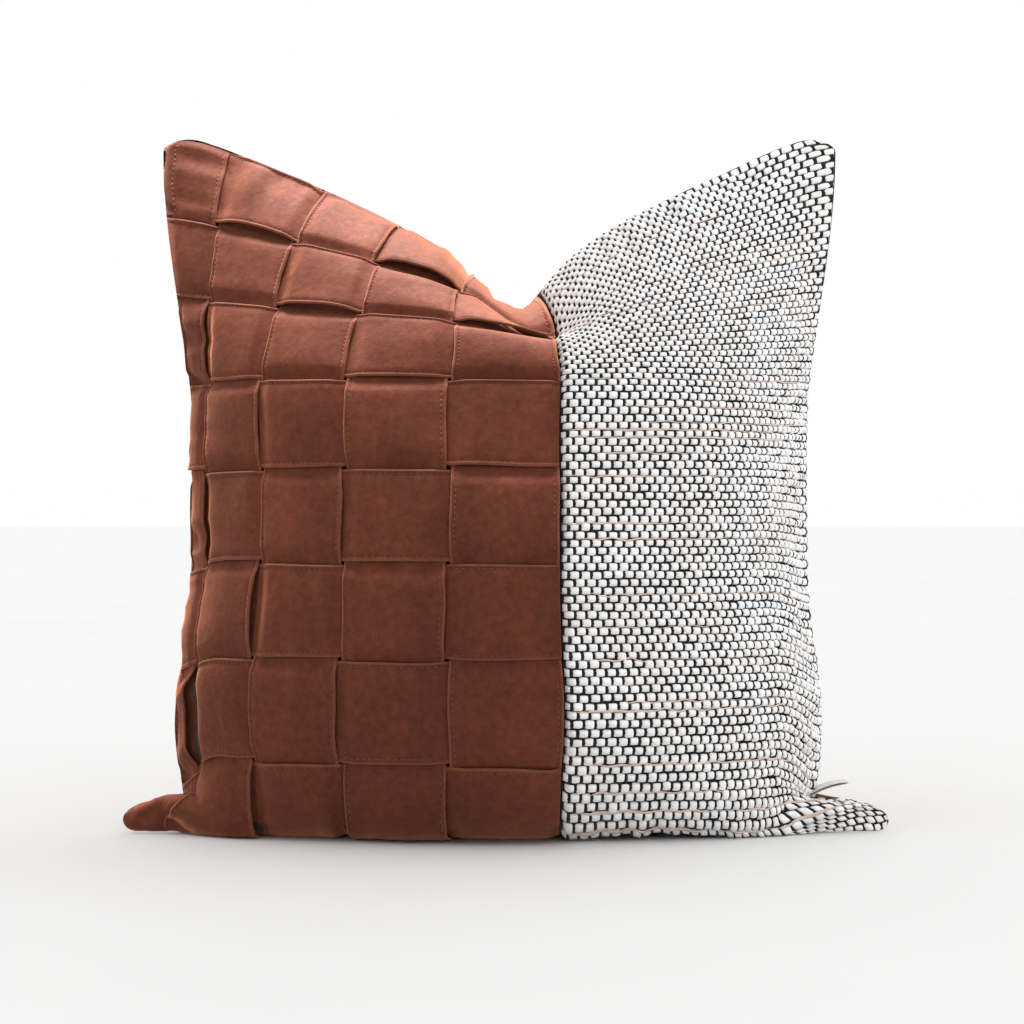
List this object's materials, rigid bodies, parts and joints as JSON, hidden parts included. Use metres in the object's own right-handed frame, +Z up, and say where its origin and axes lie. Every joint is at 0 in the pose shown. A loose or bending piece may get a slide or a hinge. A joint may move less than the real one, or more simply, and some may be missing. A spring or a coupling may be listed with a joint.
{
  "type": "throw pillow",
  "caption": "Square throw pillow with a woven strip panel beside a tweed panel, zipped at the bottom seam over a stuffed insert.",
  "frame": {"origin": "on the surface it stands on, midway between the tips of the bottom corners and midway front to back", "axes": "+X to the viewer's right across the front, +Z up, front facing -Y"},
  "size_m": [0.45, 0.196, 0.41],
  "materials": {
    "leather": "matte suede-like nap",
    "back_suede": "matte suede",
    "lining": "plain cotton",
    "tweed": "chunky white and black tweed",
    "zip_tape": "woven tape",
    "zip_teeth": "satin nylon",
    "zip_metal": "aged satin",
    "label": "satin ribbon",
    "casing": "downproof cotton",
    "filling": "fibre filling"
  },
  "bodies": {
    "cover": {"weft_strip_1": "leather", "weft_strip_2": "leather", "weft_strip_3": "leather", "weft_strip_4": "leather", "weft_strip_5": "leather", "weft_strip_6": "leather", "weft_strip_7": "leather", "weft_strip_8": "leather", "warp_strip_1": "leather", "warp_strip_2": "leather", "warp_strip_3": "leather", "warp_strip_4": "leather", "warp_strip_5": "leather", "weave_lining": "lining", "tweed_panel": "tweed", "back_panel": "back_suede", "zip_tape_front": "zip_tape", "zip_tape_back": "zip_tape", "zip_teeth_front": "zip_teeth", "zip_teeth_back": "zip_teeth", "zip_stops": "zip_metal", "care_label": "label", "insert_casing_front": "casing", "insert_casing_back": "casing", "insert_filling": "filling"},
    "slider": {"zip_slider": "zip_metal"},
    "pull_tab": {"zip_pull_tab": "zip_metal"}
  },
  "joints": [
    {"name": "zip_slide", "type": "slide", "parent": "cover", "child": "slider", "axis": [1, 0, 0], "range_m": [0, 0.2724]},
    {"name": "pull_tab_swing", "type": "hinge", "parent": "slider", "child": "pull_tab", "pos_m": [-0.1362, 0, 0.00495], "axis": [0, 1, 0], "range_deg": [0, 180]}
  ]
}
